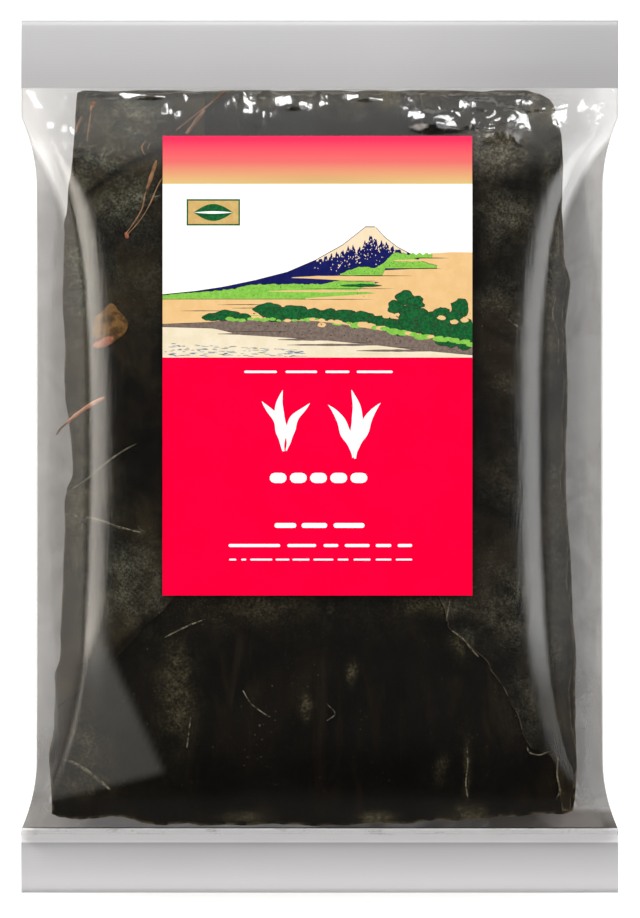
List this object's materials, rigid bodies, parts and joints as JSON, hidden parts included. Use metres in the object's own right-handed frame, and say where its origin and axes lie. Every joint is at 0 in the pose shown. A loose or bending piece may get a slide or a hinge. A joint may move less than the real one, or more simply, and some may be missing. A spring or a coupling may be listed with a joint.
{
  "type": "pack of dried kelp sheets",
  "caption": "Sealed clear film pack of dark dried kelp sheets, with flat frosted end seals and a printed paper label on its front, lying on its back.",
  "frame": {"origin": "middle of the pack's box, on the surface that its back rests on", "axes": "+X across the pack, +Y towards its top seal, +Z out of its front, which carries the label"},
  "size_m": [0.26, 0.38, 0.0386],
  "materials": {
    "film": "clear glossy film over the kelp, frosted grey at the seals",
    "kelp": "dried brown-black seaweed, leathery, with tan ribs and a pale dusty bloom",
    "label_paper": "smooth printed label, red below and a painted landscape on white above"
  },
  "bodies": {
    "root": {"bag": "film", "label": "label_paper"}
  },
  "joints": []
}
